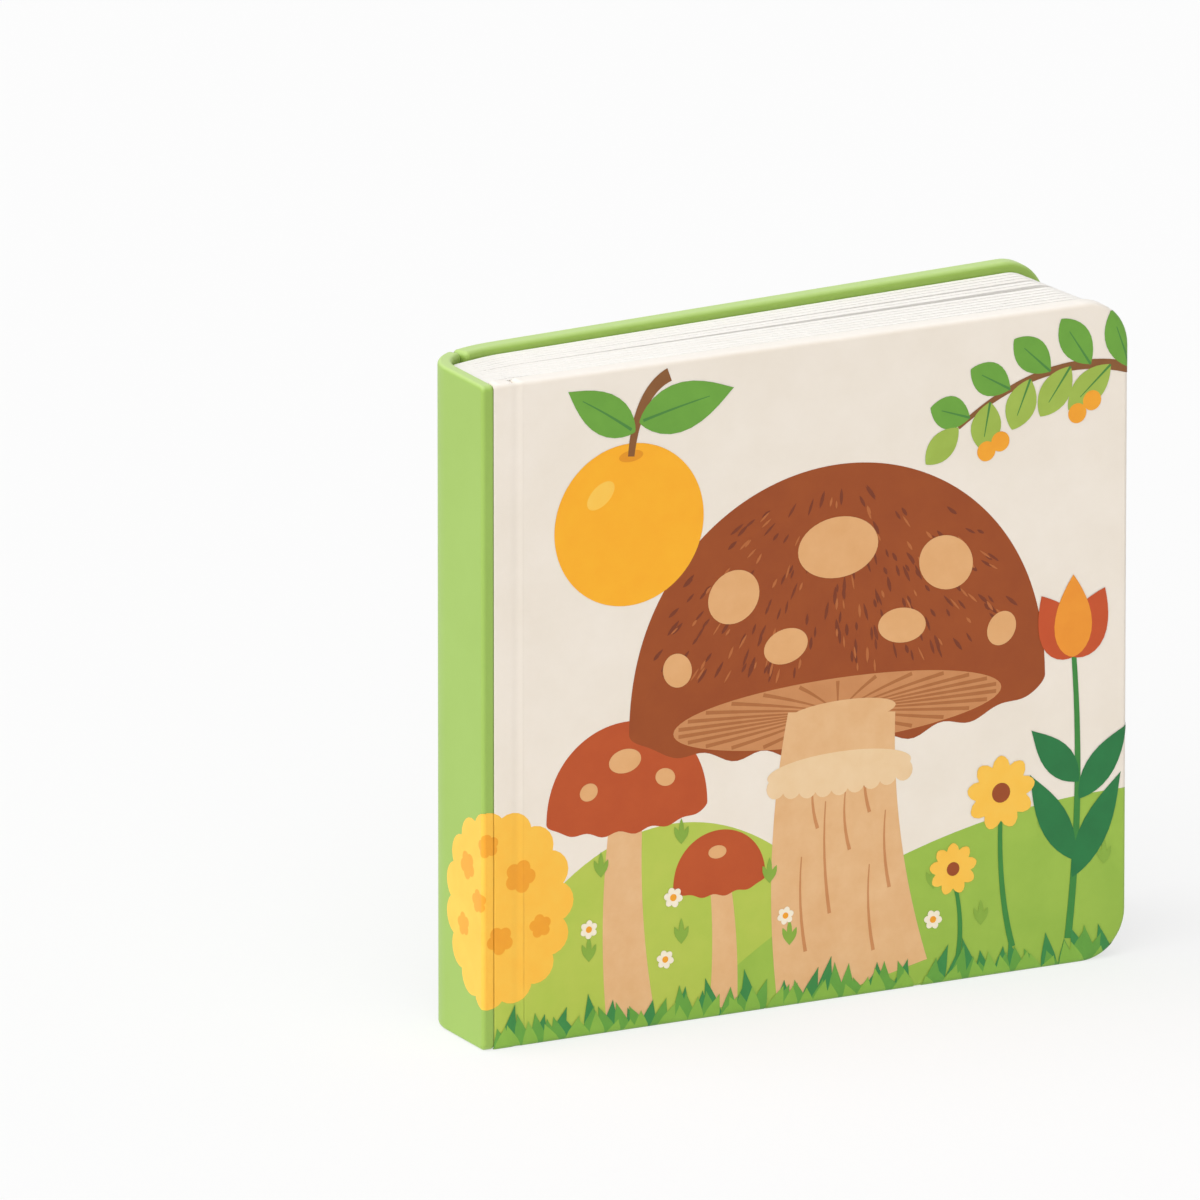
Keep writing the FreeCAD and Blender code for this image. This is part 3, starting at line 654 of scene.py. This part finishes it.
def printed_piece(name, board, sides, depth, only=""):
    """The ink layers that reach a board, cut to its surface and joined into one piece. Only gives
    a word that the names of the wanted inks have in them."""
    # Two passing materials tell the board's faces from the columns' once they are cut
    cut_sides = [bpy.data.materials.new("board_side"), bpy.data.materials.new("ink_side")]
    plain = merged_copy(board)
    plain.normal_update()
    whole = bmesh.new()
    used = []
    for level, (ink, shapes) in enumerate(layers, 1):
        if only not in ink:
            continue
        columns = bmesh.new()
        for side in sides:
            joined(columns, prisms(shapes, side, depth, board))
        if not columns.faces:
            columns.free()
            continue
        for face in columns.faces:
            face.material_index = 1
        patch = ink_patch(plain, columns, level, cut_sides)
        if not patch.faces:
            patch.free()
            continue
        if ink not in used:
            used.append(ink)
        for face in patch.faces:
            face.material_index = used.index(ink)
            face.smooth = True
        bmesh.ops.solidify(patch, geom=patch.faces[:], thickness=lift)
        bmesh.ops.recalc_face_normals(patch, faces=patch.faces[:])
        joined(whole, patch)
    plain.free()
    for side in cut_sides:
        bpy.data.materials.remove(side)
    piece = finished(name, whole, [inks[ink] for ink in used])
    # The print shades exactly as the board below it
    shading = piece.modifiers.new("board_shading", "DATA_TRANSFER")
    shading.object = board
    shading.use_loop_data = True
    shading.data_types_loops = {"CUSTOM_NORMAL"}
    shading.loop_mapping = "POLYINTERP_NEAREST"
    depsgraph = bpy.context.evaluated_depsgraph_get()
    shaded = bpy.data.meshes.new_from_object(piece.evaluated_get(depsgraph))
    piece.modifiers.clear()
    piece.data = shaded
    return piece


cover_print = printed_piece("front_cover_print", frame["nodes"]["front_cover"], ["front"],
                            cover_depth)
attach(cover_print, "front_board")
spine_print = printed_piece("spine_print", frame["nodes"]["spine_wrap"], ["front", "spine"],
                            corner, only="bush")
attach(spine_print, "spine_and_leaves")
crease_print = printed_piece("front_crease_print", front_crease, ["front"], crease_depth)
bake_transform(crease_print)


# Floor and light
# The book stands on a white painted floor that takes a soft shadow. One very broad lamp lights
# it from the upper left, and a dim white room fills in the rest.
def looking_rays(tree):
    """1 for the rays that see a surface, straight or by gloss or glass, and 0 for all others."""
    rays = add_node(tree, "ShaderNodeLightPath")
    seen = add_node(tree, "ShaderNodeMath", {"operation": "MAXIMUM"},
                    {0: rays.outputs["Is Camera Ray"], 1: rays.outputs["Is Glossy Ray"]})
    seen_at_all = add_node(tree, "ShaderNodeMath", {"operation": "MAXIMUM"},
                           {0: seen.outputs[0], 1: rays.outputs["Is Transmission Ray"]})
    return seen_at_all.outputs[0]


floor_half = 8  # metres
washed_share = 0.68
bm = bmesh.new()
bmesh.ops.create_grid(bm, x_segments=1, y_segments=1, size=floor_half)
floor_material, tree, output = new_material("white_studio_floor")
# Painted white floor: matt, with a faint unevenness that keeps it from looking like a screen
place = add_node(tree, "ShaderNodeTexCoord")
patches = add_node(tree, "ShaderNodeTexNoise", {"Scale": 3, "Detail": 1},
                   {"Vector": place.outputs["Object"]})
paint = add_node(tree, "ShaderNodeMix", {"data_type": "RGBA"}, {0: patches.outputs["Fac"]})
paint.inputs[6].default_value = linear("#F4F4F4")
paint.inputs[7].default_value = linear("#F2F2F2")
shader = add_node(tree, "ShaderNodeBsdfPrincipled", {"Roughness": 0.8, "IOR": 1.3},
                  {"Base Color": paint.outputs[2]})
# The camera sees the floor washed out towards white, which leaves a pale shadow
wash = add_node(tree, "ShaderNodeMath", {"operation": "MULTIPLY", 1: washed_share},
                {0: looking_rays(tree)})
bright = add_node(tree, "ShaderNodeEmission", {"Color": (1, 1, 1, 1), "Strength": 1})
seen_floor = add_node(tree, "ShaderNodeMixShader",
                      links={0: wash.outputs[0], 1: shader.outputs["BSDF"], 2: bright.outputs[0]})
tree.links.new(seen_floor.outputs[0], output.inputs["Surface"])
floor = finished("studio_floor", bm, [floor_material])

world = bpy.data.worlds.new("studio")
bpy.context.scene.world = world
world.use_nodes = True
tree = world.node_tree
tree.nodes.clear()
output = add_node(tree, "ShaderNodeOutputWorld")
white = add_node(tree, "ShaderNodeBackground", {"Color": (1, 1, 1, 1), "Strength": 1})
dim = add_node(tree, "ShaderNodeBackground", {"Color": (1, 1, 1, 1), "Strength": 0.32})
sky = add_node(tree, "ShaderNodeMixShader",
               links={0: looking_rays(tree), 1: dim.outputs[0], 2: white.outputs[0]})
tree.links.new(sky.outputs[0], output.inputs["Surface"])

key_data = bpy.data.lights.new("soft_key", "SUN")
key_data.energy = 2.95
key_data.angle = math.radians(100)
key = bpy.data.objects.new("soft_key", key_data)
towards_key = Vector((-0.62, -0.22, 0.75))
key.rotation_mode = "QUATERNION"
key.rotation_quaternion = towards_key.to_track_quat("Z", "Y")
bpy.context.scene.collection.objects.link(key)

bpy.context.scene.view_settings.view_transform = "Standard"
